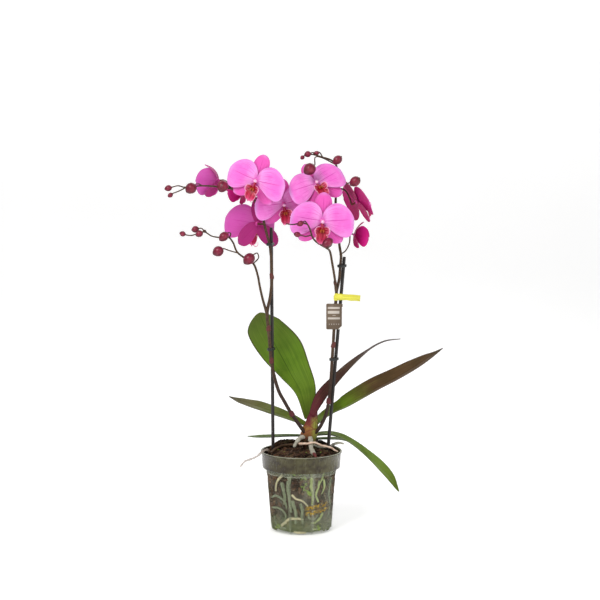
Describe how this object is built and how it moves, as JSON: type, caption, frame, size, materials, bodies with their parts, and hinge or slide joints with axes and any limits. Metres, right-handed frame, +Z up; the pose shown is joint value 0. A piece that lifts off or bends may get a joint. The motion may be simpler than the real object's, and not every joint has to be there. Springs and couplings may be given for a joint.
{
  "type": "potted orchid",
  "caption": "Moth orchid in a clear pot of bark: two arching flower spikes tied to canes, open pink blooms, buds, fleshy leaves and aerial roots.",
  "frame": {"origin": "centre of the pot's underside, on the surface that it stands on", "axes": "+Z up, the plant's tallest direction; -Y is the front, to which the flowers look; +X is the viewer's right"},
  "size_m": [0.4115, 0.1451, 0.5584],
  "materials": {
    "pot": "clear, slightly misted",
    "bark": "rough bark chips",
    "root_grey": "satin, velvety grey-green",
    "root_pale": "satin, pale",
    "crown": "satin sheath",
    "leaf": "waxy green",
    "leaf_purple": "waxy wine purple",
    "stem": "satin olive brown",
    "cane": "dark satin",
    "clip": "black",
    "tag": "satin brown",
    "label": "satin yellow",
    "petal": "soft velvety pink",
    "lip": "waxy crimson"
  },
  "bodies": {
    "root": {"pot": "pot", "substrate": "bark", "roots_in_pot": "root_grey", "crown": "crown", "root_front": "root_grey", "root_left_stub": "root_grey", "root_wavy": "root_pale", "root_over_rim": "root_pale", "root_right_tip": "root_pale", "leaf_upright": "leaf", "leaf_left_upper": "leaf", "leaf_left_lower": "leaf", "leaf_purple": "leaf_purple", "leaf_long_right": "leaf", "leaf_drooping": "leaf", "leaf_back_right": "leaf", "spike_left": "stem", "spike_right": "stem", "cane_left": "cane", "cane_right": "cane", "clip_left_low": "clip", "clip_left_high": "clip", "clip_right_low": "clip", "clip_right_high": "clip", "tag_care": "tag", "tag_label": "label", "bloom_1": "petal", "bloom_2": "petal", "bloom_3": "petal", "bloom_4": "petal", "bloom_5": "petal", "bloom_6": "petal", "bloom_7": "petal", "bloom_8": "petal", "bloom_9": "petal", "lip_1": "lip", "lip_2": "lip", "lip_3": "lip", "lip_4": "lip", "lip_5": "lip", "lip_6": "lip", "lip_7": "lip", "lip_8": "lip", "lip_9": "lip"}
  },
  "joints": []
}
